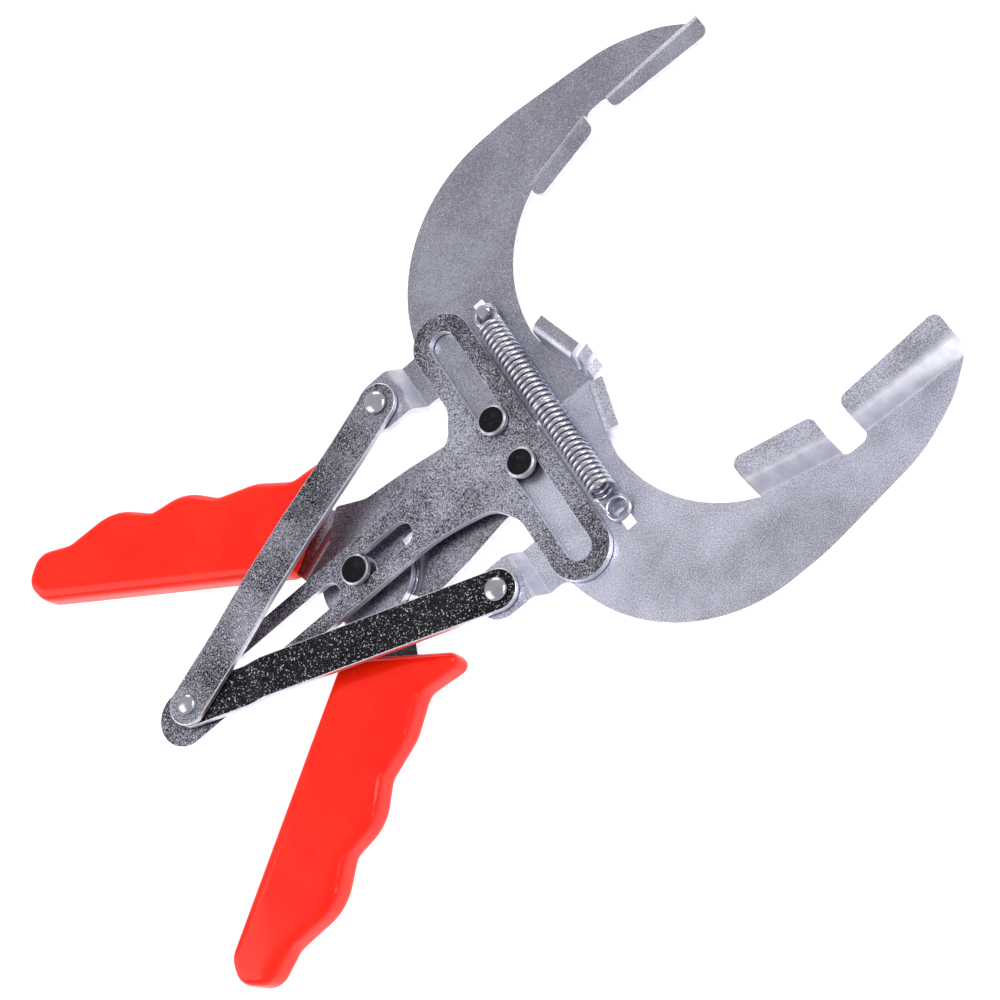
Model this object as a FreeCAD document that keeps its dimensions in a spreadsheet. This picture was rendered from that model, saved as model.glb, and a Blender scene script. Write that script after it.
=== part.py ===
# Piston ring expander: squeeze the two grips and the two hooked jaws slide apart.
#
# Frame: +X runs from the grips to the ring end, +Y to the left of that, +Z up.
# The pivot rivet's tail is the lowest point, at Z = 0, with the origin under the tool's middle.
# Every outline is written about the pivot rivet's axis, in millimetres, for the
# left (+Y) side, and mirrored for the right one.
import FreeCAD, Part
import math
import os

import Sketcher

doc = FreeCAD.newDocument("ring_expander")

# ---------------------------------------------------------------- driving sizes
SIZES = {
    # places along the tool, from the pivot rivet
    "pivot_place": -36.77,        # pivot rivet from the origin
    "pin_along": 53.2,           # head pins and head slots
    "pin_across": 7.7,
    "tab_along": 30.2,           # link rivets on the jaw tabs
    "tab_across": 33.75,
    "link_length": 95.0,
    "spring_along": 67.2,
    "lug_across": 35.3,
    # sheet thicknesses and levels
    "sheet": 2.0,
    "lever_sheet": 2.3,
    "link_sheet": 1.7,
    "play": 0.3,                 # gap between sheets that slide on each other
    "low_lever_level": 2.5,
    "high_lever_level": 5.1,
    "jaw_level": 7.7,
    "plate_level": 10.0,
    "tab_level": 12.4,
    "link_level": 14.7,
    "low_link_level": 12.9,
    "high_link_level": 14.9,
    "link_bow": 1.2,             # rise of the upper link between its ends
    "grip_level": 0.6,
    "grip_height": 9.1,
    # centre plate
    "head_radius": 8.8,
    "head_half_span": 37.2,
    "head_slot_half": 3.7,
    "head_slot_start": 7.6,
    "head_slot_end": 37.0,
    "stem_half": 8.0,
    "stem_length": 62.7,
    "pivot_slot_half": 3.55,
    "pivot_slot_start": -0.25,
    "pivot_slot_end": 15.3,
    "apex_slot_half": 3.2,
    "apex_slot_start": -59.8,
    "apex_slot_end": -10.0,
    # jaws
    "flange_rise": 7.4,          # plate top to ring seat top
    "seat_coin": 0.05,           # depth that a ledge's underside is coined flat
    "tab_width": 14.6,
    "claw_width": 3.4,
    # levers and links
    "disc_radius": 13.7,
    "joggle_start": 14.9,
    "joggle_end": 18.0,
    "joggle_rim": 21.0,
    "eye_radius": 6.5,
    "neck_width": 20.0,
    "link_width": 11.4,
    # rivets and pins
    "pin_radius": 3.5,
    "pin_head_radius": 4.2,
    "pin_head_height": 1.7,
    "pivot_radius": 3.0,
    "tab_rivet_radius": 2.25,
    "tab_dome_radius": 3.3,
    "tab_dome_height": 1.4,
    "apex_rivet_radius": 2.1,
    "apex_dome_radius": 2.9,
    "apex_dome_height": 1.5,
    "washer_sheet": 1.0,
    "tail_height": 1.2,
    "pin_tail_radius": 5.0,
    "pivot_tail_radius": 4.4,
    "tab_tail_radius": 3.2,
    "apex_tail_radius": 3.0,
    "fit": 0.05,                 # running clearance on the radius
    "link_open_fit": 0.78,       # clearance of the open pivot at the apex
    "lever_open_fit": 0.95,      # clearance of the open pivot at the pivot rivet
    # spring
    "coil_radius": 3.75,
    "wire_radius": 0.62,
    "coil_half_length": 31.0,
    "spring_level": 13.9,
    "hook_level": 10.8,
}

sheet = doc.addObject("Spreadsheet::Sheet", "Sizes")
for row, (alias, value) in enumerate(SIZES.items(), start=1):
    sheet.set("A%d" % row, alias)
    sheet.set("B%d" % row, str(value))
    sheet.setAlias("B%d" % row, alias)
doc.recompute()


def size(alias):
    """The present value of a cell, as a plain number."""
    return float(sheet.get(alias))


# ---------------------------------------------------------------- small helpers
def unit(vector):
    length = math.hypot(vector[0], vector[1])
    return (vector[0] / length, vector[1] / length)


def rounded(corners):
    """Edges of a closed outline: straight runs joined by tangent arcs of each corner's radius."""
    count = len(corners)
    runs = []
    for i in range(count):
        before, here, after = corners[i - 1], corners[i], corners[(i + 1) % count]
        radius = here[2] if len(here) > 2 else 0.0
        back = unit((before[0] - here[0], before[1] - here[1]))
        ahead = unit((after[0] - here[0], after[1] - here[1]))
        cosine = max(-1.0, min(1.0, back[0] * ahead[0] + back[1] * ahead[1]))
        half = math.acos(cosine) / 2
        if radius <= 0 or half > math.pi / 2 - 1e-4:
            runs.append((here[:2], None, here[:2]))
            continue
        reach = radius / math.tan(half)
        middle = unit((back[0] + ahead[0], back[1] + ahead[1]))
        away = radius / math.sin(half) - radius
        start = (here[0] + back[0] * reach, here[1] + back[1] * reach)
        end = (here[0] + ahead[0] * reach, here[1] + ahead[1] * reach)
        runs.append((start, (here[0] + middle[0] * away, here[1] + middle[1] * away), end))
    edges = []
    for i, (start, middle, end) in enumerate(runs):
        if middle is not None:
            edges.append(Part.Arc(vector3(start), vector3(middle), vector3(end)))
        following = runs[(i + 1) % count][0]
        if math.dist(end, following) > 1e-5:
            edges.append(Part.LineSegment(vector3(end), vector3(following)))
    return edges


def vector3(point, level=0.0):
    return FreeCAD.Vector(point[0], point[1], level)


def mirrored(corners, side):
    return [(c[0], c[1] * side) + tuple(c[2:]) for c in corners]


def strip(centreline, thickness, bend):
    """Corners of a folded sheet's section: a centreline offset to both sides, inner bend radius given."""
    left, right = [], []
    last = len(centreline) - 1
    for i, here in enumerate(centreline):
        ahead = unit((centreline[i + 1][0] - here[0], centreline[i + 1][1] - here[1])) if i < last else None
        back = unit((here[0] - centreline[i - 1][0], here[1] - centreline[i - 1][1])) if i > 0 else None
        first, second = back or ahead, ahead or back
        normal = unit((-first[1] - second[1], first[0] + second[0]))
        mitre = thickness / 2 / (normal[0] * -first[1] + normal[1] * first[0])
        turn = first[0] * second[1] - first[1] * second[0]
        inside, outside = (bend, bend + thickness) if i not in (0, last) else (0.0, 0.0)
        across = (normal[0] * mitre, normal[1] * mitre)
        left.append((here[0] + across[0], here[1] + across[1], inside if turn > 0 else outside))
        right.append((here[0] - across[0], here[1] - across[1], outside if turn > 0 else inside))
    return left + right[::-1]


# ---------------------------------------------------------------- part design helpers
def new_body(label, along="0", across="0"):
    """A body placed relative to the pivot rivet; along and across are expressions."""
    body = doc.addObject("PartDesign::Body", label)
    body.Label = label
    body.setExpression(".Placement.Base.x", "Sizes.pivot_place + (%s)" % along)
    body.setExpression(".Placement.Base.y", across)
    return body


def plane(body, role):
    return next(f for f in body.Origin.OriginFeatures if f.Role == role)


def new_sketch(body, name, role="XY_Plane", offset=None, level=None):
    sketch = body.newObject("Sketcher::SketchObject", "%s_%s" % (body.Name, name))
    sketch.AttachmentSupport = [(plane(body, role), "")]
    sketch.MapMode = "FlatFace"
    if offset is not None:
        sketch.AttachmentOffset = offset
    if level is not None:
        sketch.setExpression(".AttachmentOffset.Base.z", level)
    return sketch


def hold(sketch, kind, arguments, value, expression):
    """A dimension that follows the sheet."""
    number = sketch.addConstraint(Sketcher.Constraint(kind, *arguments, value))
    sketch.setExpression("Constraints[%d]" % number, expression)


def hold_centre(sketch, index, along, across):
    """Holds a circle's or arc's centre at a place that follows the sheet."""
    for kind, axis, expression in (("DistanceX", -2, along), ("DistanceY", -1, across)):
        value = expression_value(expression)
        if abs(value) < 1e-9:
            sketch.addConstraint(Sketcher.Constraint("PointOnObject", index, 3, axis))
        elif value > 0:
            hold(sketch, kind, (-1, 1, index, 3), value, expression)
        else:
            hold(sketch, kind, (index, 3, -1, 1), -value, "-(%s)" % expression)


def add_circle(sketch, radius, along="0", across="0"):
    """A circle whose radius and centre follow the sheet."""
    centre = FreeCAD.Vector(expression_value(along), expression_value(across), 0)
    circle = Part.Circle(centre, FreeCAD.Vector(0, 0, 1), expression_value(radius))
    index = sketch.addGeometry(circle, False)
    hold(sketch, "Radius", (index,), expression_value(radius), radius)
    hold_centre(sketch, index, along, across)


def add_slot(sketch, radius, first, last):
    """A slot with round ends about two centres, all following the sheet."""
    centres = [FreeCAD.Vector(*(expression_value(e) for e in end), 0) for end in (first, last)]
    heading = math.atan2(centres[1].y - centres[0].y, centres[1].x - centres[0].x)
    half = expression_value(radius)
    ends = []
    for centre, start in ((centres[0], heading + math.pi / 2), (centres[1], heading - math.pi / 2)):
        circle = Part.Circle(centre, FreeCAD.Vector(0, 0, 1), half)
        ends.append(sketch.addGeometry(Part.ArcOfCircle(circle, start, start + math.pi), False))
    across = FreeCAD.Vector(-math.sin(heading) * half, math.cos(heading) * half, 0)
    left = sketch.addGeometry(Part.LineSegment(centres[0] + across, centres[1] + across), False)
    right = sketch.addGeometry(Part.LineSegment(centres[0] - across, centres[1] - across), False)
    for arc, point, line, end in ((0, 1, left, 1), (1, 2, left, 2), (0, 2, right, 1), (1, 1, right, 2)):
        sketch.addConstraint(Sketcher.Constraint("Tangent", ends[arc], point, line, end))
    sketch.addConstraint(Sketcher.Constraint("Equal", ends[0], ends[1]))
    hold(sketch, "Radius", (ends[0],), half, radius)
    hold_centre(sketch, ends[0], *first)
    hold_centre(sketch, ends[1], *last)


def expression_value(expression):
    """The value of a sum or product of sheet cells, for a constraint's first value."""
    return float(sheet.evalExpression(expression.replace("Sizes.", "")))


def add_pad(sketch, length):
    body = sketch.getParentGeoFeatureGroup()
    pad = body.newObject("PartDesign::Pad", sketch.Name + "_pad")
    pad.Profile = sketch
    pad.setExpression("Length", length)
    return pad


def disc_pad(body, name, radius, level, length, along="0", across="0"):
    sketch = new_sketch(body, name, level=level)
    add_circle(sketch, radius, along, across)
    return add_pad(sketch, length)


def outline_pad(body, name, corners, level, length):
    sketch = new_sketch(body, name, level=level)
    sketch.addGeometry(rounded(corners), False)
    return add_pad(sketch, length)


def drill(body, name, radius, along="0", across="0"):
    """A round hole right through."""
    sketch = new_sketch(body, name, level="30")
    add_circle(sketch, radius, along, across)
    return add_through_cut(sketch)


def add_through_cut(sketch, depth="60"):
    body = sketch.getParentGeoFeatureGroup()
    doc.recompute()
    before = body.Shape.Volume
    pocket = body.newObject("PartDesign::Pocket", sketch.Name + "_cut")
    pocket.Profile = sketch
    pocket.setExpression("Length", depth)
    doc.recompute()
    if body.Shape.Volume > before - 1e-3:
        raise RuntimeError("%s removed nothing" % pocket.Name)
    return pocket


def cut_slot(body, name, radius, first, last):
    sketch = new_sketch(body, name, level="30")
    add_slot(sketch, radius, first, last)
    return add_through_cut(sketch)


def turned(angle, x=0.0, y=0.0, shift=0.0):
    """Offset of a sketch on the XZ plane: stood at (x, y), looking along a heading in the XY plane.

    The sketch's first axis points along the heading, its second is up, and it pads to the
    heading's right; shift first moves it to the left."""
    heading = math.radians(angle)
    px = x + math.sin(heading) * -shift
    py = y + math.cos(heading) * shift
    return FreeCAD.Placement(FreeCAD.Vector(px, 0, -py), FreeCAD.Rotation(FreeCAD.Vector(0, 1, 0), angle))


def folded_pad(body, name, centreline, thickness, bend, width, x, y, heading, shift):
    """A folded strip of sheet: its section stands on a heading and is padded across by width."""
    sketch = new_sketch(body, name, "XZ_Plane", turned(heading, x, y, shift))
    sketch.addGeometry(rounded(strip(centreline, thickness, bend)), False)
    return add_pad(sketch, width)


def soften(body, radius, chooser):
    """Rounds the chosen edges of the body's present shape."""
    doc.recompute()
    tip = body.Tip
    names = ["Edge%d" % (i + 1) for i, edge in enumerate(tip.Shape.Edges) if chooser(edge)]
    fillet = body.newObject("PartDesign::Fillet", body.Name + "_round")
    fillet.Base = (tip, names)
    fillet.setExpression("Radius", radius)
    doc.recompute()
    return fillet


def at_level(level):
    """Chooses edges that lie wholly at one height."""
    def choose(edge):
        box = edge.BoundBox
        return abs(box.ZMin - level) < 1e-4 and abs(box.ZMax - level) < 1e-4
    return choose


# ---------------------------------------------------------------- centre plate
def make_centre_plate():
    body = new_body("centre_plate")
    x, r, end = size("pin_along"), size("head_radius"), size("head_half_span") + size("head_radius")
    stem, tail = size("stem_half"), size("stem_length") + size("stem_half")
    armpit = x - r
    half_outline = [
        (-tail, stem, stem - 0.01), (24.0, stem, 60.0), (39.8, 12.2, 8.0), (armpit, 20.0, 6.0),
        (armpit, end, r - 0.01), (x + r, end, r - 0.01)]
    corners = half_outline + mirrored(half_outline, -1)[::-1]
    outline_pad(body, "sheet", corners, "Sizes.plate_level", "Sizes.sheet")
    for name in ("pivot_slot", "apex_slot"):
        ends = [("Sizes.%s_%s" % (name, word), "0") for word in ("start", "end")]
        cut_slot(body, name, "Sizes.%s_half" % name, *ends)
    for word, sign in (("left", ""), ("right", "-")):
        ends = [("Sizes.pin_along", "%sSizes.head_slot_%s" % (sign, end)) for end in ("start", "end")]
        cut_slot(body, word + "_head_slot", "Sizes.head_slot_half", *ends)
    return body


# ---------------------------------------------------------------- jaws
# Each flange runs between two stations: where its root is, the heading it leans in, how far in
# its riser reaches, how far in its lip ends; then the inner radius of its bends.
FLANGES = {
    "base": ((79.8, 4.8, 15.0, 1.0, 4.8), (76.0, 18.9, 15.0, 1.0, 4.8), 0.5),
    "middle": ((98.0, 57.0, -90.0, 3.2, 8.6), (120.6, 62.5, -90.0, 3.2, 8.9), 1.0),
    "tip": ((128.3, 61.9, -90.0, 2.7, 7.3), (160.0, 63.2, -90.0, 3.6, 10.3), 1.0),
}


def add_flange(body, name, stations, bend, side):
    """A ledge folded up and in from the sheet, lofted between the sections at its two ends."""
    level = size("jaw_level") + size("sheet") / 2
    top = level + size("flange_rise")
    sections = []
    for number, (x, y, heading, lean, lip) in enumerate(stations):
        line = [(-1.8, level), (0.0, level), (lean, top), (lip, top)]
        stand = turned(heading * side, x, y * side)
        sketch = new_sketch(body, "%s_end_%d" % (name, number), "XZ_Plane", stand)
        sketch.addGeometry(rounded(strip(line, size("sheet"), bend)), False)
        sections.append(sketch)
    loft = body.newObject("PartDesign::AdditiveLoft", "%s_%s_flange" % (body.Name, name))
    loft.Profile = sections[0]
    loft.Sections = sections[1:]
    loft.Ruled = True


def add_seat(body, name, stations, side):
    """Coins the underside of a ledge flat where the ring rests."""
    corners = []
    for (x, y, heading, lean, lip), order in zip(stations, (1, -1)):
        way = math.radians(heading)
        reaches = (lip + 1.0, lean + 1.8)[::order]
        corners += [(x + math.cos(way) * reach, y + math.sin(way) * reach) for reach in reaches]
    seat = new_sketch(body, name + "_seat", level="Sizes.jaw_level + Sizes.flange_rise + Sizes.seat_coin")
    seat.addGeometry(rounded(mirrored(corners, side)), False)
    add_through_cut(seat, "0.5")


def is_lip_corner(edge):
    """The upright edges at the free corners of the middle and tip ledges."""
    box = edge.BoundBox
    top = size("jaw_level") + size("flange_rise") + size("sheet")
    upright = box.XLength < 1e-4 and box.YLength < 1e-4 and box.XMin > 90
    return upright and abs(box.ZMax - top) < 1e-4 and abs(box.ZMin - top + size("sheet")) < 1e-4


def make_jaw(label, side):
    body = new_body(label)
    tab_y, half_tab = size("tab_across"), size("tab_width") / 2
    bend_x = 40.2
    corners = [
        (45.8, 0.2), (45.8, tab_y - half_tab, 3.0), (bend_x, tab_y - half_tab), (bend_x, tab_y + half_tab),
        (45.7, tab_y + half_tab, 3.0), (55.6, 81.2, 48.0), (104.0, 81.0, 80.0), (136.5, 76.8, 40.0),
        (150.5, 70.3, 30.0), (157.8, 64.0), (128.3, 62.9), (127.4, 64.4, 2.4), (121.4, 64.4, 2.4),
        (120.6, 63.4), (98.0, 58.0), (77.5, 47.3, 40.0), (74.6, 22.8, 6.0), (75.0, 19.0), (78.8, 4.8),
        (80.2, 3.6), (80.2, 0.2), (63.4, 0.2), (62.7, 1.1, 0.4), (62.0, 0.2)]
    outline_pad(body, "sheet", mirrored(corners, side), "Sizes.jaw_level", "Sizes.sheet")

    for name, (first, second, bend) in FLANGES.items():
        add_flange(body, name, (first, second), bend, side)
    soften(body, "2.4", is_lip_corner)
    trim = new_sketch(body, "trim", level="30")
    beyond_tip = [(151.0, 76.0), (154.0, 67.6), (160.1, 61.8), (166.0, 61.8), (166.0, 76.0)]
    trim.addGeometry(rounded(mirrored(beyond_tip, side)), False)
    add_through_cut(trim)
    for name, (first, second, bend) in FLANGES.items():
        add_seat(body, name, (first, second), side)

    # claw: a narrow hook beside the centre line that holds the ring's end
    level = size("jaw_level") + size("sheet") / 2
    top = level + size("flange_rise")
    claw = [(-3.0, level), (1.2, level), (3.2, top - 1.2), (7.2, top + 0.6)]
    folded_pad(body, "claw", claw, size("sheet"), 0.5, "Sizes.claw_width",
               79.3, 2.5 * side, 0.0, size("claw_width") / 2)

    # link tab: the sheet steps up to the height of the links
    tab_level = size("tab_level") + size("sheet") / 2
    tab = [(0.0, tab_level), (36.2 - size("tab_along"), tab_level), (39.4 - size("tab_along"), level),
           (46.0 - size("tab_along"), level)]
    folded_pad(body, "tab", tab, size("sheet"), 0.6, "Sizes.tab_width",
               size("tab_along"), tab_y * side, 0.0, half_tab)
    disc_pad(body, "tab_end", "Sizes.tab_width / 2", "Sizes.tab_level", "Sizes.sheet",
             "Sizes.tab_along", "Sizes.tab_across * %d" % side)

    # spring lug: lanced out of the sheet, standing inside the spring's loop
    lug_level = size("jaw_level") + size("sheet") - 0.4
    lug = [(-0.2, lug_level), (0.1, lug_level + 2.2), (2.3, lug_level + 3.4)]
    folded_pad(body, "lug", lug, 1.5, 0.3, "2.6", size("spring_along"),
               size("lug_across") * side, 90.0 * side, 1.3)

    window = new_sketch(body, "window", level="30")
    lug_y = size("lug_across") * side
    window_corners = [(-1.6, 1.6 * side), (1.6, 1.6 * side), (1.6, 6.0 * side), (-1.6, 6.0 * side)]
    placed = [(size("spring_along") + c[0], lug_y + c[1], 0.4) for c in window_corners]
    window.addGeometry(rounded(placed), False)
    add_through_cut(window, "30 - Sizes.jaw_level + 1")
    drill(body, "pin_hole", "Sizes.pin_radius", "Sizes.pin_along", "Sizes.pin_across * %d" % side)
    drill(body, "rivet_hole", "Sizes.tab_rivet_radius", "Sizes.tab_along", "Sizes.tab_across * %d" % side)
    return body


# ---------------------------------------------------------------- levers
def arm_corners(start):
    """The lever's arm, from its start to the eye on the head pin."""
    pin_x, pin_y, eye = size("pin_along"), size("pin_across"), size("eye_radius")
    return start + [
        (pin_x, pin_y - eye), (pin_x + 0.01, pin_y + eye), (40.0, 14.5, 20.0), (25.9, 16.9, 20.0),
        (11.0, 18.6, 8.0)]


# Outline of the sheet inside the grip, from the neck to the heel.
CORE = [(-14.0, 20.0), (-2.0, 29.0, 2.0), (-30.0, 50.0, 12.0), (-70.0, 66.0, 3.0), (-77.0, 66.0, 3.0),
        (-68.0, 55.0, 10.0)]
NECK_HEADING = 112.0
JOGGLE_HEADING, JOGGLE_SWEEP = 31.5, 55.0


def make_lever(label, side, high):
    """The high lever is flat to its disc and steps down into the grip; the low one steps up to its arm."""
    body = new_body(label)
    disc_level = "Sizes.high_lever_level" if high else "Sizes.low_lever_level"
    disc_pad(body, "disc", "Sizes.disc_radius", disc_level, "Sizes.lever_sheet")

    middle = size("lever_sheet") / 2
    low_middle, high_middle = size("low_lever_level") + middle, size("high_lever_level") + middle
    if high:
        neck = [(8.0, high_middle), (16.0, high_middle), (19.4, low_middle), (30.0, low_middle)]
        start = [(2.9, 22.9, 1.0), (-4.0, 16.0), (6.0, 1.2)]
    else:
        neck = [(8.0, low_middle), (30.0, low_middle)]
        start = [(10.3, 16.6), (13.8, 13.8), (17.6, 8.6), (19.5, 1.3)]
        add_round_step(body, side, low_middle, high_middle)
    folded_pad(body, "neck", neck, size("lever_sheet"), 0.6, "Sizes.neck_width", 0.0, 0.0,
               NECK_HEADING * side, size("neck_width") / 2)
    outline_pad(body, "core", mirrored(CORE, side), "Sizes.low_lever_level", "Sizes.lever_sheet")
    arm = mirrored(arm_corners(start), side)
    outline_pad(body, "arm", arm, "Sizes.high_lever_level", "Sizes.lever_sheet")
    disc_pad(body, "eye", "Sizes.eye_radius", "Sizes.high_lever_level", "Sizes.lever_sheet",
             "Sizes.pin_along", "Sizes.pin_across * %d" % side)
    drill(body, "eye_hole", "Sizes.pin_radius + Sizes.fit", "Sizes.pin_along", "Sizes.pin_across * %d" % side)
    drill(body, "pivot_hole", "Sizes.pivot_radius" if high else "Sizes.pivot_radius + Sizes.lever_open_fit")
    return body


def add_round_step(body, side, low_middle, high_middle):
    """The step from the disc up to the arm, turned about the pivot so that it clears the other disc."""
    start, end = size("joggle_start"), size("joggle_end")
    rim = [(start - 3.0, low_middle), (start, low_middle), (end, high_middle)]
    rim.append((size("joggle_rim"), high_middle))
    sketch = new_sketch(body, "step", "XZ_Plane", turned(JOGGLE_HEADING * side))
    sketch.addGeometry(rounded(strip(rim, size("lever_sheet"), 0.6)), False)
    turn = body.newObject("PartDesign::Revolution", body.Name + "_step_turn")
    turn.Profile = sketch
    turn.ReferenceAxis = (plane(body, "Z_Axis"), [""])
    turn.Angle = JOGGLE_SWEEP
    turn.Midplane = True


# ---------------------------------------------------------------- grips
# Outline of a grip from its mouth round the scalloped outer edge; the left one's tip is shorter.
GRIP_TIP = {1: (12.5, 36.3, 2.5), -1: (16.0, 39.7, 2.5)}
GRIP = [
    (-3.5, 37.9, 4.0), (-12.8, 45.4, 14.0), (-24.2, 50.0, 3.0), (-32.0, 58.9, 15.0), (-43.3, 60.8, 3.0),
    (-53.0, 70.4, 16.0), (-69.5, 71.2, 5.0), (-79.5, 76.2, 6.0), (-87.0, 70.2, 5.0), (-85.4, 62.8, 6.0),
    (-17.5, 15.2, 3.0)]


def make_grip(label, side):
    body = new_body(label)
    outline_pad(body, "dip", mirrored([GRIP_TIP[side]] + GRIP, side), "Sizes.grip_level", "Sizes.grip_height")
    heights = (size("grip_level"), size("grip_level") + size("grip_height"))
    soften(body, "2.4", lambda e: any(at_level(z)(e) for z in heights))
    core = new_sketch(body, "core", level="Sizes.low_lever_level + Sizes.lever_sheet")
    core.addGeometry(rounded(mirrored(CORE, side)), False)
    add_through_cut(core, "Sizes.lever_sheet")
    neck = new_sketch(body, "neck_way", "XZ_Plane",
                      turned(NECK_HEADING * side, 0.0, 0.0, size("neck_width") / 2))
    low, thick = size("low_lever_level"), size("lever_sheet")
    neck.addGeometry(rounded([(10.0, low), (30.0, low), (30.0, low + thick), (10.0, low + thick)]), False)
    add_through_cut_along(neck, "Sizes.neck_width")
    return body


def add_through_cut_along(sketch, length):
    """A cut that goes the way the matching pad would."""
    body = sketch.getParentGeoFeatureGroup()
    doc.recompute()
    before = body.Shape.Volume
    pocket = body.newObject("PartDesign::Pocket", sketch.Name + "_cut")
    pocket.Profile = sketch
    pocket.Reversed = True
    pocket.setExpression("Length", length)
    doc.recompute()
    if body.Shape.Volume > before - 1e-3:
        raise RuntimeError("%s removed nothing" % pocket.Name)
    return pocket


# ---------------------------------------------------------------- links
def make_link(label, side, high):
    """A strap from a jaw's tab to the apex; the upper one is bowed, the lower one steps down."""
    body = new_body(label, "Sizes.tab_along", "Sizes.tab_across * %d" % side)
    reach = size("link_length")
    heading = math.degrees(math.atan2(-size("tab_across") * side,
                                      -math.sqrt(reach ** 2 - size("tab_across") ** 2)))
    half = size("link_sheet") / 2
    tab_end = size("link_level") + half
    apex_end = (size("high_link_level") if high else size("low_link_level")) + half
    line = [(0.0, tab_end), (reach * 0.78 - 3.0, tab_end), (reach * 0.78 + 3.0, apex_end), (reach, apex_end)]
    if high:
        crest = tab_end + size("link_bow")
        line[1:3] = [(reach * 0.16, tab_end), (reach * 0.42, crest), (reach * 0.62, crest),
                     (reach * 0.80, apex_end)]
    folded_pad(body, "strap", line, size("link_sheet"), 1.0, "Sizes.link_width", 0.0, 0.0, heading,
               size("link_width") / 2)
    apex = (math.cos(math.radians(heading)) * reach, math.sin(math.radians(heading)) * reach)
    disc_pad(body, "tab_end", "Sizes.link_width / 2", "Sizes.link_level", "Sizes.link_sheet")
    apex_level = "Sizes.high_link_level" if high else "Sizes.low_link_level"
    ends = ("%.6f" % apex[0], "Sizes.tab_across * %d" % -side)
    disc_pad(body, "apex_end", "Sizes.link_width / 2", apex_level, "Sizes.link_sheet", *ends)
    drill(body, "tab_hole", "Sizes.tab_rivet_radius + Sizes.fit")
    play = "0" if high else "Sizes.link_open_fit"
    drill(body, "apex_hole", "Sizes.apex_rivet_radius + (%s)" % play, *ends)
    return body


# ---------------------------------------------------------------- rivets, pins and washers
def make_rivet(label, along, across, shank, bottom, top, head, head_height, crown, tail_radius, tail_height):
    """A shank with a formed tail below and a head above; crown is the head's edge rounding."""
    body = new_body(label, along, across)
    disc_pad(body, "tail", tail_radius, "%s - %s" % (bottom, tail_height), tail_height)
    disc_pad(body, "shank", shank, bottom, "%s - (%s)" % (top, bottom))
    disc_pad(body, "head", head, top, head_height)
    soften(body, crown, at_level(expression_value(top) + expression_value(head_height)))
    tail_level = expression_value(bottom) - expression_value(tail_height)
    fillet = soften(body, "0.4", at_level(tail_level))
    fillet.Label = label + "_tail_round"
    return body


def make_washer(label, along, across, hole, outer, level, height):
    body = new_body(label, along, across)
    sketch = new_sketch(body, "ring", level=level)
    add_circle(sketch, outer)
    add_circle(sketch, hole)
    add_pad(sketch, height)
    return body


def make_pins():
    head_level = "Sizes.plate_level + Sizes.sheet + Sizes.play"
    pin_head = (head_level, "Sizes.pin_head_radius", "Sizes.pin_head_height", "0.5")
    made = []
    for word, side in (("left", 1), ("right", -1)):
        washer_level = "Sizes.high_lever_level - Sizes.play - Sizes.washer_sheet"
        place = ("Sizes.pin_along", "Sizes.pin_across * %d" % side)
        made.append(make_rivet(word + "_head_pin", *place, "Sizes.pin_radius", washer_level, *pin_head,
                               "Sizes.pin_tail_radius", "Sizes.tail_height"))
        made.append(make_washer(word + "_pin_washer", *place, "Sizes.pin_radius", "6.0", washer_level,
                                "Sizes.washer_sheet"))
        made.append(make_rivet(word + "_tab_rivet", "Sizes.tab_along", "Sizes.tab_across * %d" % side,
                               "Sizes.tab_rivet_radius", "Sizes.tab_level",
                               "Sizes.link_level + Sizes.link_sheet + Sizes.play", "Sizes.tab_dome_radius",
                               "Sizes.tab_dome_height", "Sizes.tab_dome_height - 0.1",
                               "Sizes.tab_tail_radius", "Sizes.tail_height"))
    washer_level = "Sizes.low_lever_level - Sizes.play - Sizes.washer_sheet"
    made.append(make_rivet("pivot_rivet", "0", "0", "Sizes.pivot_radius", washer_level, *pin_head,
                           "Sizes.pivot_tail_radius", "Sizes.tail_height"))
    made.append(make_washer("pivot_washer", "0", "0", "Sizes.pivot_radius", "6.0", washer_level,
                            "Sizes.washer_sheet"))
    made.append(make_washer("pivot_spacer", "0", "0", "Sizes.pivot_radius", "4.7",
                            "Sizes.high_lever_level + Sizes.lever_sheet",
                            "Sizes.plate_level - Sizes.play - Sizes.high_lever_level - Sizes.lever_sheet"))
    apex = "Sizes.tab_along - sqrt(Sizes.link_length ^ 2 - Sizes.tab_across ^ 2)"
    washer_level = "Sizes.plate_level - Sizes.play - Sizes.washer_sheet"
    made.append(make_rivet("apex_rivet", apex, "0", "Sizes.apex_rivet_radius", washer_level,
                           "Sizes.high_link_level + Sizes.link_sheet", "Sizes.apex_dome_radius",
                           "Sizes.apex_dome_height", "Sizes.apex_dome_height - 0.1",
                           "Sizes.apex_tail_radius", "0.9"))
    made.append(make_washer("apex_washer", apex, "0", "Sizes.apex_rivet_radius", "5.0", washer_level,
                            "Sizes.washer_sheet"))
    return made


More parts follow.
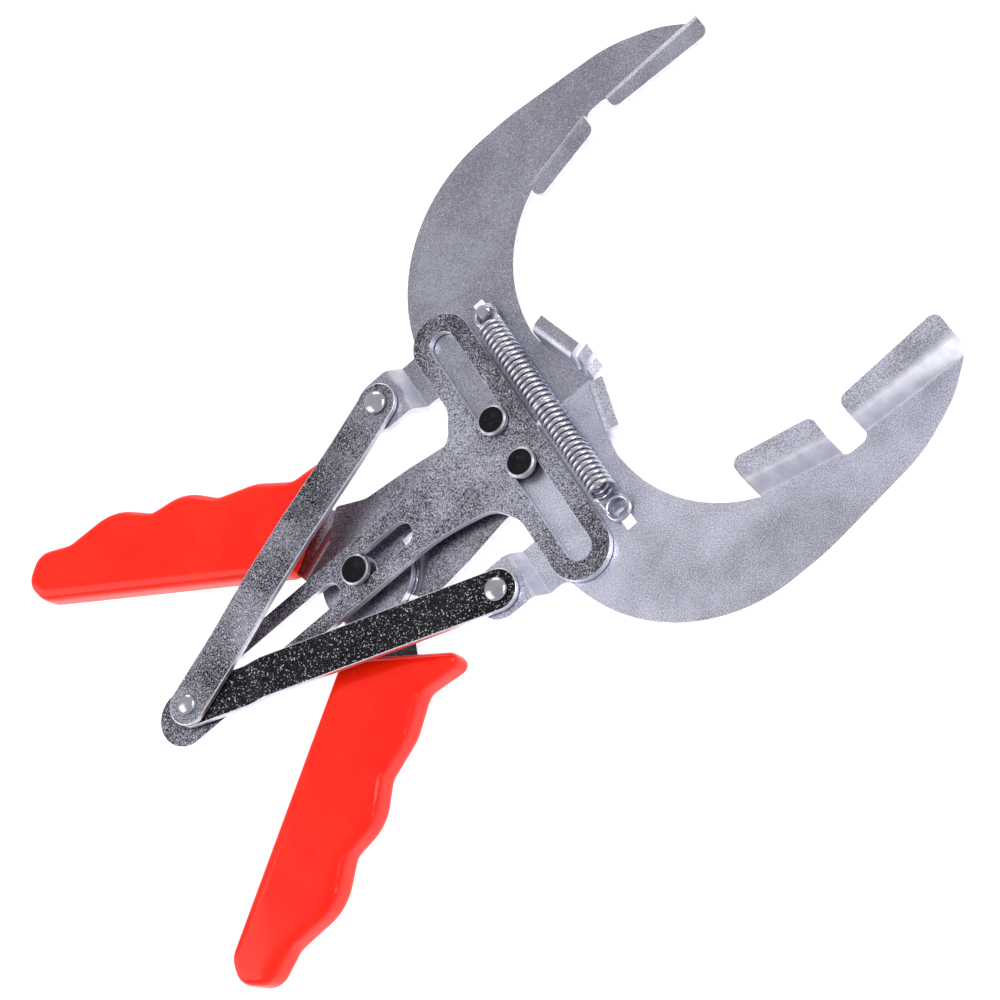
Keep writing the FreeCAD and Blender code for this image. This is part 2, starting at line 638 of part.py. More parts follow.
# ---------------------------------------------------------------- return spring
def make_spring():
    """The close-wound coil as its outer shape, with a flat loop round each jaw's lug."""
    def primitive(kind, name, expressions, axis=None, angle=0.0):
        item = doc.addObject("Part::" + kind, name)
        if axis is not None:
            item.Placement.Rotation = FreeCAD.Rotation(axis, angle)
        for target, expression in expressions.items():
            item.setExpression(target, expression)
        return item

    along = "Sizes.pivot_place + Sizes.spring_along"
    sideways = FreeCAD.Vector(1, 0, 0)
    coil_place = {".Placement.Base.x": along, ".Placement.Base.y": "Sizes.coil_half_length",
                  ".Placement.Base.z": "Sizes.spring_level", "Height": "Sizes.coil_half_length * 2"}
    outer = primitive("Cylinder", "coil_outside", {"Radius": "Sizes.coil_radius", **coil_place}, sideways, 90)
    inner = primitive("Cylinder", "coil_inside",
                      {"Radius": "Sizes.coil_radius - 2 * Sizes.wire_radius", **coil_place}, sideways, 90)
    coil = doc.addObject("Part::Cut", "coil")
    coil.Base, coil.Tool = outer, inner
    pieces = [coil]
    for word, side in (("left", 1), ("right", -1)):
        loop = primitive("Torus", word + "_loop", {
            "Radius1": "Sizes.coil_radius - Sizes.wire_radius", "Radius2": "Sizes.wire_radius",
            ".Placement.Base.x": along, ".Placement.Base.z": "Sizes.hook_level",
            ".Placement.Base.y": "Sizes.lug_across * %d" % side})
        leg = primitive("Cylinder", word + "_leg", {
            "Radius": "Sizes.wire_radius", "Height": "Sizes.spring_level - Sizes.hook_level",
            ".Placement.Base.x": along + " - Sizes.coil_radius + Sizes.wire_radius + 0.45",
            ".Placement.Base.z": "Sizes.hook_level",
            ".Placement.Base.y": "(Sizes.coil_half_length + 2.6) * %d" % side})
        bar = primitive("Cylinder", word + "_bar", {
            "Radius": "Sizes.wire_radius", "Height": "3.2",
            ".Placement.Base.x": along + " - Sizes.coil_radius + Sizes.wire_radius + 0.45",
            ".Placement.Base.z": "Sizes.spring_level",
            ".Placement.Base.y": "(Sizes.coil_half_length + 2.6) * %d" % side}, sideways, 90 * side)
        pieces += [loop, leg, bar]
    spring = doc.addObject("Part::MultiFuse", "return_spring")
    spring.Label = "return_spring"
    spring.Shapes = pieces
    return spring


# ---------------------------------------------------------------- build, check and write
def main():
    parts = [make_centre_plate()]
    for word, side in (("left", 1), ("right", -1)):
        parts.append(make_jaw(word + "_jaw", side))
        parts.append(make_link(word + "_link", side, high=side > 0))
        parts.append(make_lever(word + "_lever", side, high=side > 0))
        parts.append(make_grip(word + "_grip", side))
    parts += make_pins()
    parts.append(make_spring())
    doc.recompute()

    for item in doc.Objects:
        if "Invalid" in item.State or "Error" in item.State:
            raise RuntimeError("%s did not build: %s" % (item.Name, item.State))
    os.makedirs("parts", exist_ok=True)
    for part in parts:
        shape = part.Shape
        if shape.isNull() or not shape.isValid() or len(shape.Solids) != 1:
            raise RuntimeError("%s is not one valid solid: %d" % (part.Label, len(shape.Solids)))
    for part in parts:
        part.Shape.exportStep("parts/%s.step" % part.Label)
    print("wrote", len(parts), "parts")


main()
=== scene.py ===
"""Piston ring expander pliers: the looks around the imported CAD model."""

import math

import bmesh
import bpy
import numpy as np
from mathutils import Matrix, Vector
from mathutils.bvhtree import BVHTree


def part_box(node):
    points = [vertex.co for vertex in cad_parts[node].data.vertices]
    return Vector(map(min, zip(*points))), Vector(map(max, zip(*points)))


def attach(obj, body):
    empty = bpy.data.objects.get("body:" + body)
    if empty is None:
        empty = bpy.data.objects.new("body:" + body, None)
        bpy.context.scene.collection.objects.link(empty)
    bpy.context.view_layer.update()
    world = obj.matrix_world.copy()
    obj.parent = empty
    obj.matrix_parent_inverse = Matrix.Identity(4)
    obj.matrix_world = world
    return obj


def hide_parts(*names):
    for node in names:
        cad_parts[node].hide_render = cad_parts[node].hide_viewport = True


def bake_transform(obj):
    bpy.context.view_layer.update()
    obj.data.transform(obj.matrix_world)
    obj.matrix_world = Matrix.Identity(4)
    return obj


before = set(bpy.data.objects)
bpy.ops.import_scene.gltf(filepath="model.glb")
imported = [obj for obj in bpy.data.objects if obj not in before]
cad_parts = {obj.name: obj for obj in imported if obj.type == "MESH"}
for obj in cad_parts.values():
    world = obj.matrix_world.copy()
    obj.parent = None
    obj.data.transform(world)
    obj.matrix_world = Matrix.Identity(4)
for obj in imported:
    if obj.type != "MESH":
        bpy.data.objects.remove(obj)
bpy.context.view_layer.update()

MM = 0.001
WHITE = (1.0, 1.0, 1.0, 1.0)
SIDES = {"left": 1, "right": -1}


def centre(node):
    low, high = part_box(node)
    return (low + high) / 2


PIVOT = centre("pivot_rivet")
# Where the plate's stem meets the head of its T; the plate's painted shade deepens away from here.
FADE_CENTRE = (PIVOT.x + 35 * MM, PIVOT.y, PIVOT.z)
SHADE_START = 12 * MM
SHADE_END = 55 * MM


# ---------------------------------------------------------------- shader building
class Shader:
    """A material with a Principled surface, and short calls for the nodes that feed it."""

    def __init__(self, name, **settings):
        self.material = bpy.data.materials.new(name)
        self.material.use_nodes = True
        self.tree = self.material.node_tree
        self.surface = self.tree.nodes["Principled BSDF"]
        for socket, value in settings.items():
            self.surface.inputs[socket.replace("_", " ")].default_value = value
        self.place = self.tree.nodes.new("ShaderNodeTexCoord").outputs["Object"]

    def node(self, kind, inputs=None, **properties):
        made = self.tree.nodes.new("ShaderNode" + kind)
        for name, value in properties.items():
            setattr(made, name, value)
        for socket, value in (inputs or {}).items():
            if isinstance(value, bpy.types.NodeSocket):
                self.tree.links.new(value, made.inputs[socket])
            else:
                made.inputs[socket].default_value = value
        return made

    def noise(self, size, detail=2.0, roughness=0.5, stretch=None):
        """Soft noise whose features are about size metres across."""
        place = self.place
        if stretch is not None:
            place = self.node("Mapping", {"Vector": place, "Scale": stretch}).outputs[0]
        settings = {"Vector": place, "Scale": 1 / size, "Detail": detail, "Roughness": roughness}
        return self.node("TexNoise", settings).outputs[0]

    def flakes(self, size):
        """A random value from 0 to 1 in each cell of about size metres."""
        cells = self.node("TexVoronoi", {"Vector": self.place, "Scale": 1 / size})
        return self.node("SeparateColor", {0: cells.outputs["Color"]}).outputs[0]

    def distance(self, point):
        """The distance from a point, in metres."""
        apart = self.node("VectorMath", {0: self.place, 1: point}, operation="DISTANCE")
        return apart.outputs["Value"]

    def ramp(self, value, low, high, to_low=0.0, to_high=1.0):
        return self.node("MapRange", {0: value, 1: low, 2: high, 3: to_low, 4: to_high},
                         interpolation_type="SMOOTHSTEP").outputs[0]

    def compute(self, operation, first, second):
        return self.node("Math", {0: first, 1: second}, operation=operation).outputs[0]

    def mix(self, share, first, second):
        return self.node("Mix", {0: share, 6: first, 7: second}, data_type="RGBA").outputs[2]

    def mix_value(self, share, first, second):
        return self.node("Mix", {0: share, 2: first, 3: second}, data_type="FLOAT").outputs[0]

    def bump(self, height, strength, depth, over=None):
        inputs = {"Height": height, "Strength": strength, "Distance": depth}
        if over is not None:
            inputs["Normal"] = over
        return self.node("Bump", inputs).outputs[0]

    def flatness(self):
        """1 on faces that lie flat, 0 on sheared walls and folds."""
        normal = self.node("NewGeometry").outputs["Normal"]
        upward = self.node("SeparateXYZ", {0: normal}).outputs[2]
        return self.ramp(self.compute("ABSOLUTE", upward, 0.0), 0.62, 0.95)

    def feed(self, socket, value):
        self.tree.links.new(value, self.surface.inputs[socket])


def grey(value, tint=0.2):
    """A metal colour; tint leans it towards violet."""
    return (value, value, value * (1 + tint), 1.0)


def plated_steel(name, dark, light, grain, flakes, wall_tone_and_sheen, roughness, relief, spread=0.15,
                 painted_shade=0.0):
    """Zinc plated sheet: salt-and-pepper grain and flakes on the flats, smooth walls and folds
    whose pale colour is partly a painted sheen.

    The grain runs from dark to light, and a small spread makes it harsher. The last argument
    darkens it away from where the plate's stem meets its head, as painted shade."""
    steel = Shader(name, Metallic=1.0)
    flat = steel.flatness()
    fine = steel.noise(grain, 2.0, 0.7)
    tone = steel.noise(18 * MM, 3.0, 0.5)
    shade = steel.compute("ADD", fine, steel.ramp(tone, 0.3, 0.7, -0.05, 0.05))
    # Painted shade: the sheet grows darker away from where the stem meets the head.
    if painted_shade:
        away = steel.ramp(steel.distance(FADE_CENTRE), SHADE_START, SHADE_END, 0.0, painted_shade)
        shade = steel.compute("SUBTRACT", shade, away)
    sheet = steel.mix(steel.ramp(shade, 0.5 - spread, 0.5 + spread), grey(dark), grey(light))
    crystals = steel.ramp(steel.flakes(grain * 0.8), 1 - flakes, 1.0)
    clusters = steel.ramp(steel.noise(grain * 2.3, 1.0), 0.42, 0.6)
    lit = steel.compute("MULTIPLY", crystals, clusters)
    sheet = steel.mix(lit, sheet, grey(0.95, 0.05))
    # Walls and folds: smooth and streaked, and their pale colour is partly a painted sheen.
    streak = steel.noise(3 * MM, 3.0, 0.6, (1.0, 1.0, 0.35))
    edge = steel.mix(steel.ramp(streak, 0.3, 0.7), grey(wall_tone_and_sheen * 0.82, 0.12), grey(wall_tone_and_sheen, 0.10))
    steel.feed("Base Color", steel.mix(flat, edge, sheet))
    rough = steel.ramp(fine, 0.3, 0.7, roughness + 0.08, roughness - 0.08)
    steel.feed("Roughness", steel.mix_value(flat, roughness, rough))
    strength = steel.ramp(flat, 0.0, 1.0, relief * 0.15, relief)
    worn = steel.bump(steel.noise(8 * MM, 2.0), 0.10, 0.4 * MM)
    steel.feed("Normal", steel.bump(fine, strength, grain * 0.2, worn))
    return steel.material


def bright_edge(name, value, roughness=0.3):
    """The rounded arris of a sheet, rubbed bright and nicked.

    On the sheets its pale colour is also a painted highlight along the rims.
    """
    edge = Shader(name, Metallic=1.0)
    wear = edge.noise(1.6 * MM, 3.0, 0.6)
    worn = edge.ramp(wear, 0.32, 0.62)
    edge.feed("Base Color", edge.mix(worn, grey(value * 0.7), grey(value, 0.1)))
    edge.feed("Roughness", edge.ramp(wear, 0.3, 0.7, roughness + 0.15, roughness))
    edge.feed("Normal", edge.bump(wear, 0.2, 0.12 * MM))
    return edge.material


def polished_steel(name, value, roughness):
    """Formed rivet heads and drawn wire, with faint draw marks."""
    steel = Shader(name, Metallic=1.0)
    marks = steel.noise(0.7 * MM, 3.0, 0.6)
    haze = steel.ramp(steel.noise(4 * MM, 2.0, 0.5), 0.3, 0.7)
    steel.feed("Base Color", steel.mix(haze, grey(value * 0.82), grey(value, 0.08)))
    steel.feed("Roughness", steel.ramp(marks, 0.3, 0.7, roughness, roughness + 0.14))
    steel.feed("Normal", steel.bump(marks, 0.12, 0.06 * MM))
    return steel.material


def blackened_steel(name):
    """Oil-blackened pin face: near black with fine scuffs that show brighter metal."""
    black = Shader(name, Metallic=0.85)
    scuff = black.noise(1.1 * MM, 4.0, 0.7)
    black.feed("Base Color", black.mix(black.ramp(scuff, 0.60, 0.78), grey(0.010), grey(0.10)))
    black.feed("Roughness", black.ramp(scuff, 0.3, 0.7, 0.3, 0.5))
    black.feed("Normal", black.bump(black.noise(0.4 * MM, 2.0), 0.25, 0.08 * MM))
    return black.material


def dipped_vinyl(name):
    """Glossy dipped vinyl: even red with faint flow marks, dust and orange peel."""
    vinyl = Shader(name, Coat_Weight=0.30, Coat_Roughness=0.06, IOR=1.5, Specular_IOR_Level=0.14)
    flow = vinyl.noise(13 * MM, 3.0, 0.5)
    peel = vinyl.noise(1.6 * MM, 2.0, 0.5)
    speck = vinyl.flakes(1.1 * MM)
    deep_red = (0.90, 0.011, 0.002, 1.0)
    bright_red = (0.97, 0.017, 0.003, 1.0)
    dusty_red = (0.5, 0.01, 0.006, 1.0)
    red = vinyl.mix(vinyl.ramp(flow, 0.3, 0.7), deep_red, bright_red)
    dust = vinyl.ramp(speck, 0.986, 0.999, 0.0, 0.18)
    vinyl.feed("Base Color", vinyl.mix(dust, red, dusty_red))
    vinyl.feed("Roughness", vinyl.ramp(flow, 0.3, 0.7, 0.22, 0.34))
    waves = vinyl.bump(flow, 0.10, 0.6 * MM)
    vinyl.feed("Normal", vinyl.bump(peel, 0.06, 0.1 * MM, waves))
    return vinyl.material


# Each sheet's wall setting is the colour of its walls and folds, pale partly as painted sheen.
SHEET_LOOKS = {
    # The plate's last setting is painted shade, darkest towards its tail and head ends.
    "plate": dict(dark=0.045, light=0.66, grain=0.27 * MM, flakes=0.12, wall_tone_and_sheen=0.90,
                  roughness=0.40, relief=0.75, spread=0.08, painted_shade=0.10),
    # The jaws are the same plated sheet; the left is set darker as painted shade and the right lighter
    # as painted light, for how each faces the lamps.
    "left_jaw": dict(dark=0.20, light=0.50, grain=0.26 * MM, flakes=0.06, wall_tone_and_sheen=0.86,
                     roughness=0.40, relief=0.35, spread=0.12),
    "right_jaw": dict(dark=0.26, light=0.84, grain=0.27 * MM, flakes=0.07, wall_tone_and_sheen=0.92,
                      roughness=0.40, relief=0.45, spread=0.12),
    "lever": dict(dark=0.07, light=0.55, grain=0.28 * MM, flakes=0.10, wall_tone_and_sheen=0.85,
                  roughness=0.36, relief=0.55, spread=0.11),
    "left_link": dict(dark=0.005, light=0.38, grain=0.29 * MM, flakes=0.18, wall_tone_and_sheen=0.80,
                      roughness=0.38, relief=0.75, spread=0.065),
    "right_link": dict(dark=0.006, light=0.036, grain=0.30 * MM, flakes=0.17, wall_tone_and_sheen=0.85,
                       roughness=0.36, relief=0.60),
}
# Sheet arris colours: pale partly for wear and partly as painted highlight along the rims.
EDGE_VALUES = {"plate": 0.85, "jaw": 0.80, "lever": 0.80, "link": 0.82}

FINISH = {
    "rivet": polished_steel("rivet_chrome", 0.50, 0.12),
    "washer": polished_steel("washer_steel", 0.45, 0.26),
    "wire": polished_steel("spring_wire", 0.54, 0.16),
    "pin_black": blackened_steel("pin_black"),
    "pin_rim": bright_edge("pin_rim", 0.46, 0.34),
    "vinyl": dipped_vinyl("dipped_vinyl"),
}
for sheet_name, look in SHEET_LOOKS.items():
    FINISH[sheet_name] = plated_steel(sheet_name + "_grain", **look)
for sheet_name, edge_value in EDGE_VALUES.items():
    FINISH[sheet_name + "_edge"] = bright_edge(sheet_name + "_arris", edge_value)


# ---------------------------------------------------------------- mesh building
def piece(name, mesh, body, nodes, finishes):
    """Puts a mesh in the scene as a piece that rides on a body and stands for CAD nodes."""
    made = bpy.data.objects.new(name, mesh)
    bpy.context.scene.collection.objects.link(made)
    for finish in finishes:
        mesh.materials.append(FINISH[finish])
    if len(finishes) > 1:
        even = made.modifiers.new("even_normals", "WEIGHTED_NORMAL")
        even.weight = 100
        even.keep_sharp = True
    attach(made, body)
    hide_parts(*nodes)


def finished_mesh(shape, name, sharp_angle):
    """Turns a bmesh into a smooth-shaded mesh that stays sharp above an angle in degrees."""
    bmesh.ops.recalc_face_normals(shape, faces=shape.faces)
    mesh = bpy.data.meshes.new(name)
    shape.to_mesh(mesh)
    shape.free()
    smooth(mesh, sharp_angle)
    return mesh


def smooth(mesh, sharp_angle):
    mesh.shade_smooth()
    mesh.set_sharp_from_angle(angle=math.radians(sharp_angle))


ARRIS_ANGLE = 38
FLAT_ANGLE = 0.3
WELD = 0.001 * MM


def softened_sheet(node, radius):
    """A CAD node's shape with its arrises rounded; the rounds take the second material.

    A corner that the rounding throws off the sheet goes back to the CAD surface."""
    shape = bmesh.new()
    shape.from_mesh(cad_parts[node].data)
    bmesh.ops.remove_doubles(shape, verts=shape.verts, dist=WELD)
    bmesh.ops.dissolve_limit(shape, angle_limit=math.radians(FLAT_ANGLE), verts=shape.verts,
                             edges=shape.edges)
    skin = BVHTree.FromBMesh(shape)
    arris = [edge for edge in shape.edges
             if len(edge.link_faces) == 2 and edge.calc_face_angle(0.0) > math.radians(ARRIS_ANGLE)]
    for face in shape.faces:
        face.material_index = 0
    bmesh.ops.bevel(shape, geom=arris, offset=radius, offset_type="OFFSET", segments=2,
                    profile=0.5, affect="EDGES", clamp_overlap=True, material=1)
    for vertex in shape.verts:
        nearest, _, _, away = skin.find_nearest(vertex.co)
        if away > radius:
            vertex.co = nearest
    return finished_mesh(shape, node + "_sheet", ARRIS_ANGLE)


def circle_turns(steps):
    """The angles of evenly spaced steps round a full circle."""
    return [2 * math.pi * step / steps for step in range(steps)]


def lathe(profile, place, steps, bright=range(0)):
    """Turns (radius, height) pairs in millimetres about an upright axis through place.

    The spans of the profile numbered in bright take the second material."""
    shape = bmesh.new()
    rings = []
    for radius, height in profile:
        if radius < 1e-6:
            rings.append([shape.verts.new((place.x, place.y, height * MM))])
            continue
        rings.append([shape.verts.new((place.x + math.cos(turn) * radius * MM,
                                       place.y + math.sin(turn) * radius * MM,
                                       height * MM))
                      for turn in circle_turns(steps)])
    is_ring = profile[0][0] > 1e-6
    pairs = zip(rings, rings[1:] + rings[:1]) if is_ring else zip(rings, rings[1:])
    for number, (below, above) in enumerate(pairs):
        for step in range(steps):
            after = (step + 1) % steps
            corners = [below[step % len(below)], below[after % len(below)],
                       above[after % len(above)], above[step % len(above)]]
            face = shape.faces.new(list(dict.fromkeys(corners)))
            face.material_index = 1 if number in bright else 0
    return finished_mesh(shape, "turned", 32)


WIRE_SIDES = 12


def tube(points, radius):
    """A round wire along points, with its ends narrowed and capped."""
    line = np.array(points, float)
    ahead = np.gradient(line, axis=0)
    ahead /= np.linalg.norm(ahead, axis=1)[:, None]
    normal = np.cross(ahead[0], (0.3, 0.5, 0.8))
    ends = (0, len(line) - 1)
    shape = bmesh.new()
    rings = []
    for number, (point, way) in enumerate(zip(line, ahead)):
        normal = normal - way * (normal @ way)
        normal /= np.linalg.norm(normal)
        side = np.cross(way, normal)
        reach = radius * (0.72 if number in ends else 1.0)
        outward = [math.cos(turn) * normal + math.sin(turn) * side for turn in circle_turns(WIRE_SIDES)]
        rings.append([shape.verts.new(point + reach * out) for out in outward])
    for below, above in zip(rings, rings[1:]):
        for step in range(WIRE_SIDES):
            after = (step + 1) % WIRE_SIDES
            shape.faces.new((below[step], below[after], above[after], above[step]))
    shape.faces.new(rings[0][::-1])
    shape.faces.new(rings[-1])
    return finished_mesh(shape, "wire", 50)


# ---------------------------------------------------------------- sheet metal
PLATE_ROUND = 0.32 * MM
JAW_ROUND = 0.28 * MM
LEVER_ROUND = 0.30 * MM
LINK_ROUND = 0.26 * MM


def make_sheets():
    piece("centre_plate_sheet", softened_sheet("centre_plate", PLATE_ROUND), "frame",
          ["centre_plate"], ["plate", "plate_edge"])
    for word in SIDES:
        piece(word + "_jaw_sheet", softened_sheet(word + "_jaw", JAW_ROUND), word + "_jaw",
              [word + "_jaw"], [word + "_jaw", "jaw_edge"])
        piece(word + "_lever_sheet", softened_sheet(word + "_lever", LEVER_ROUND), word + "_handle",
              [word + "_lever"], ["lever", "lever_edge"])
        piece(word + "_link_strap", softened_sheet(word + "_link", LINK_ROUND), word + "_link",
              [word + "_link"], [word + "_link", "link_edge"])


# ---------------------------------------------------------------- rivets, pins and washers
# Radii, heights and levels in this part are in millimetres.
TAIL_HEIGHT = 1.2
HEAD_MARGIN = 0.04
HEAD_STEPS = 72
WASHER_STEPS = 64
DOME_STEPS = 9


def levels(node):
    """Lowest and highest level of a node."""
    low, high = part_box(node)
    return low.z / MM, high.z / MM


def head_radius(node, head_height):
    """Radius of a rivet's head, measured on the part of the CAD shape above its underside."""
    middle = centre(node)
    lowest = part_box(node)[1].z - (head_height + HEAD_MARGIN) * MM
    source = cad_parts[node]
    places = [source.matrix_world @ vertex.co for vertex in source.data.vertices]
    reach = [math.hypot(place.x - middle.x, place.y - middle.y)
             for place in places if place.z > lowest]
    return max(reach) / MM


def make_pin(name, node, body, shank, tail, head_height, chamfer):
    """A blackened flat head with a worn bright chamfer, a shank, and a formed tail below."""
    low, high = levels(node)
    head = head_radius(node, head_height)
    under = high - head_height
    face = head - chamfer
    below = [(0, low), (tail - 0.5, low), (tail - 0.12, low + 0.14), (tail, low + 0.5),
             (tail, low + TAIL_HEIGHT), (shank, low + TAIL_HEIGHT), (shank, under)]
    rim = [(head - 0.12, under), (head, under + 0.12), (head, high - chamfer * 0.75),
           (head - 0.14, high - chamfer * 0.6), (face, high - 0.06)]
    top = [(face - 0.15, high), (face - 0.5, high - 0.04), (1.15, high - 0.06),
           (1.0, high - 0.15), (0.35, high - 0.17), (0, high - 0.17)]
    bright = range(len(below), len(below) + len(rim))
    piece(name, lathe(below + rim + top, centre(node), HEAD_STEPS, bright), body,
          [node], ["pin_black", "pin_rim"])


def make_dome_rivet(name, node, body, shank, tail, dome_height, tail_height):
    """A bright domed head with a small flash ring at its foot."""
    low, high = levels(node)
    under = high - dome_height
    profile = [(0, low), (tail - 0.4, low), (tail, low + 0.35), (tail, low + tail_height),
               (shank, low + tail_height), (shank, under)]
    profile += dome_arc(head_radius(node, dome_height), dome_height, under)
    piece(name, lathe(profile, centre(node), HEAD_STEPS), body, [node], ["rivet"])


def dome_arc(radius, height, under):
    """Foot ring, then a rounded dome up to its crown."""
    foot_height = 0.3
    foot = [(radius - 0.05, under), (radius, under + 0.12), (radius - 0.06, under + foot_height)]
    rise = height - foot_height
    turns = [math.pi / 2 * step / DOME_STEPS for step in range(1, DOME_STEPS)]
    bow = [((radius - 0.1) * math.cos(turn) ** 0.8, under + foot_height + rise * math.sin(turn))
           for turn in turns]
    return foot + bow + [(0, under + height)]


def make_washer(name, node, body, hole):
    """A flat ring with softened edges."""
    low, high = levels(node)
    outer = (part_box(node)[1].x - centre(node).x) / MM
    soft = 0.18
    profile = [(hole, low + soft), (hole + soft, low), (outer - soft, low), (outer, low + soft),
               (outer, high - soft), (outer - soft, high), (hole + soft, high), (hole, high - soft)]
    piece(name, lathe(profile, centre(node), WASHER_STEPS), body, [node], ["washer"])


def make_fasteners():
    for word in SIDES:
        jaw = word + "_jaw"
        make_pin(word + "_head_pin_turned", word + "_head_pin", jaw,
                 shank=3.5, tail=5.0, head_height=1.7, chamfer=0.50)
        make_washer(word + "_pin_washer_ring", word + "_pin_washer", jaw, hole=3.5)
        make_dome_rivet(word + "_tab_rivet_dome", word + "_tab_rivet", jaw,
                        shank=2.25, tail=3.2, dome_height=1.4, tail_height=TAIL_HEIGHT)
    make_pin("pivot_rivet_turned", "pivot_rivet", "left_handle",
             shank=3.0, tail=4.4, head_height=1.7, chamfer=0.35)
    make_washer("pivot_washer_ring", "pivot_washer", "left_handle", hole=3.0)
    make_washer("pivot_spacer_ring", "pivot_spacer", "left_handle", hole=3.0)
    make_dome_rivet("apex_rivet_dome", "apex_rivet", "left_link",
                    shank=2.1, tail=3.0, dome_height=1.5, tail_height=0.9)
    make_washer("apex_washer_ring", "apex_washer", "left_link", hole=2.1)


# ---------------------------------------------------------------- grips
def make_grip(word):
    """The CAD grip, remeshed finely and relaxed until its edges roll like dipped vinyl."""
    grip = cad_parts[word + "_grip"]
    source = bpy.data.objects.new(word + "_grip_source", grip.data.copy())
    bpy.context.scene.collection.objects.link(source)
    remesh = source.modifiers.new("even", "REMESH")
    remesh.mode = "VOXEL"
    remesh.voxel_size = 0.55 * MM
    relax = source.modifiers.new("relax", "SMOOTH")
    relax.factor = 0.5
    relax.iterations = 10
    graph = bpy.context.evaluated_depsgraph_get()
    mesh = bpy.data.meshes.new_from_object(source.evaluated_get(graph))
    bpy.data.objects.remove(source)
    mesh.materials.clear()
    smooth(mesh, 60)
    piece(word + "_grip_dip", mesh, word + "_handle", [word + "_grip"], ["vinyl"])


# ---------------------------------------------------------------- return spring
WIRE = 0.66 * MM
COIL = 3.08 * MM
HOOK = 3.12 * MM
INSET = 3.75 * MM
TURNS = 18
STEPS_PER_TURN = 30
HALF = 30.6 * MM
SWING_STEPS = 14
HOOK_STEPS = 36


def make_spring():
    """Two halves of one close-wound coil, one on each side.

    INSET is how far the coil's axis and the hooks' centres lie inside the CAD node's box."""
    low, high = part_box("return_spring")
    along = (low.x + high.x) / 2
    level = high.z - INSET
    coil_steps = TURNS * STEPS_PER_TURN
    for word, side in SIDES.items():
        lug = (high.y if side > 0 else -low.y) - INSET
        points = []
        for step in range(coil_steps + 1):
            turn = 2 * math.pi * step / STEPS_PER_TURN
            across = HALF * step / coil_steps
            points.append((along + COIL * math.cos(turn) * side, across * side,
                           level + COIL * math.sin(turn)))
        points += hook(Vector(points[-1]), Vector((along, lug * side, low.z + WIRE)), side)
        half = bpy.data.objects.new("spring_%s_half" % word, tube(points, WIRE))
        bpy.context.scene.collection.objects.link(half)
        half.data.materials.append(FINISH["wire"])
        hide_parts("return_spring")
        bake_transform(half)


def hook(start, eye, side):
    """The wire leaves the coil, swings out and down, and rings the lug."""
    entry = Vector((eye.x + HOOK * side, eye.y - 0.2 * MM * side, eye.z))
    lead_out = Vector((0, 3.2 * MM * side, 2.2 * MM))
    lead_in = Vector((0, 4.6 * MM * side, -0.2 * MM))
    climb = 0.02 * MM
    made = []
    for step in range(1, SWING_STEPS + 1):
        t = step / SWING_STEPS
        from_start = 2 * t ** 3 - 3 * t ** 2 + 1
        from_lead_out = t ** 3 - 2 * t ** 2 + t
        from_entry = 3 * t ** 2 - 2 * t ** 3
        from_lead_in = t ** 3 - t ** 2
        made.append(tuple(from_start * start + from_lead_out * lead_out
                          + from_entry * entry + from_lead_in * lead_in))
    for step in range(1, HOOK_STEPS - 1):
        turn = 2 * math.pi * step / HOOK_STEPS
        made.append((eye.x + HOOK * math.cos(turn) * side, eye.y + HOOK * math.sin(turn) * side,
                     eye.z + climb * step))
    return made


# ---------------------------------------------------------------- studio
FLOOR_LEVEL = -90 * MM
FLOOR_HALF_WIDTH = 3.0
PAPER_GLOW = 0.2
WORLD_STRENGTH = 0.66

# Place and size in metres, power in watts.
LAMPS = {
    "key": dict(place=(0.95, -0.35, 0.85), size=0.8, power=9.0),
    "edge": dict(place=(0.75, -1.20, 0.60), size=0.22, power=1.1),
    "fill": dict(place=(-0.9, 0.2, 0.7), size=0.9, power=5.0),
    "rim": dict(place=(0.3, 1.2, 0.5), size=0.6, power=3.0),
}

FOCAL_LENGTH_MM = 97.2
SENSOR_WIDTH_MM = 36.0
CAMERA_PLACE = Vector((PIVOT.x + 0.1814, -0.3636, 0.6001))
CAMERA_RIGHT = Vector((0.7476, -0.4763, -0.4612))
CAMERA_BACK = Vector((0.198, -0.5032, 0.8407))


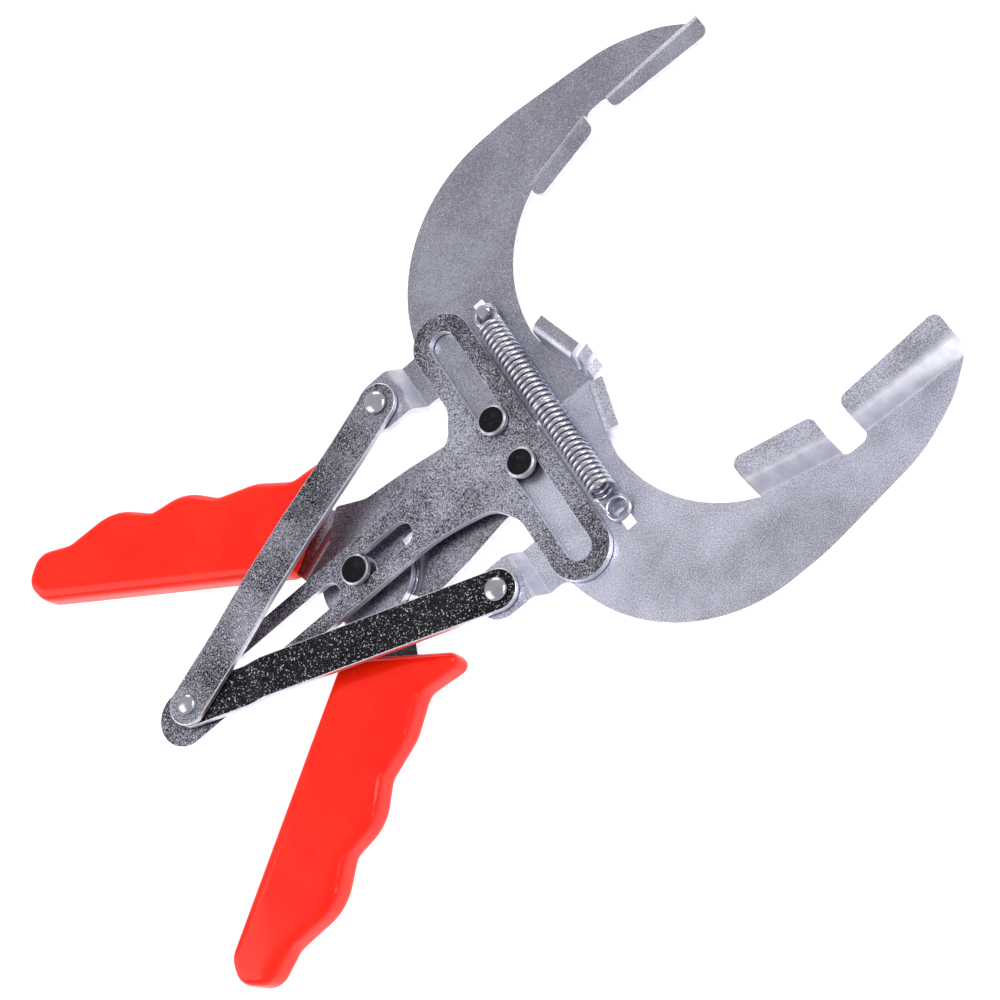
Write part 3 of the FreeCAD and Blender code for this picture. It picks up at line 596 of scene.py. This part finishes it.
def make_floor():
    """Plain white paper that glows slightly, below the tool."""
    shape = bmesh.new()
    bmesh.ops.create_grid(shape, x_segments=8, y_segments=8, size=FLOOR_HALF_WIDTH)
    mesh = bpy.data.meshes.new("floor")
    shape.to_mesh(mesh)
    shape.free()
    floor = bpy.data.objects.new("floor", mesh)
    bpy.context.scene.collection.objects.link(floor)
    floor.location.z = FLOOR_LEVEL
    paper = Shader("studio_paper", Roughness=0.9, Emission_Color=WHITE,
                   Emission_Strength=PAPER_GLOW)
    mottle = paper.ramp(paper.noise(0.3), 0.3, 0.7)
    paper.feed("Base Color", paper.mix(mottle, grey(0.93, 0.0), grey(0.96, 0.0)))
    mesh.materials.append(paper.material)


def make_world():
    world = bpy.data.worlds.new("studio")
    bpy.context.scene.world = world
    world.use_nodes = True
    background = world.node_tree.nodes["Background"]
    background.inputs["Color"].default_value = WHITE
    background.inputs["Strength"].default_value = WORLD_STRENGTH


def make_lamp(name, place, size, power):
    """A square soft lamp that points at the middle of the tool."""
    light = bpy.data.lights.new(name, "AREA")
    light.size = size
    light.energy = power
    lamp = bpy.data.objects.new(name, light)
    bpy.context.scene.collection.objects.link(lamp)
    lamp.location = place
    lamp.rotation_euler = (-Vector(place)).to_track_quat("-Z", "Y").to_euler()


def make_camera():
    """The camera stands over the right jaw's side and looks down along the tool."""
    lens = bpy.data.cameras.new("camera")
    lens.lens = FOCAL_LENGTH_MM
    lens.sensor_width = SENSOR_WIDTH_MM
    lens.clip_start = 0.01
    lens.clip_end = 20.0
    camera = bpy.data.objects.new("camera", lens)
    bpy.context.scene.collection.objects.link(camera)
    backward = CAMERA_BACK.normalized()
    upward = backward.cross(CAMERA_RIGHT.normalized()).normalized()
    rightward = upward.cross(backward)
    turned = Matrix((rightward, upward, backward)).transposed().to_4x4()
    camera.matrix_world = Matrix.Translation(CAMERA_PLACE) @ turned
    bpy.context.scene.camera = camera


make_camera()
make_floor()
make_world()
for lamp_name, setting in LAMPS.items():
    make_lamp(lamp_name, **setting)
make_sheets()
make_fasteners()
for side_word in SIDES:
    make_grip(side_word)
make_spring()
bpy.context.scene.view_settings.view_transform = "Standard"
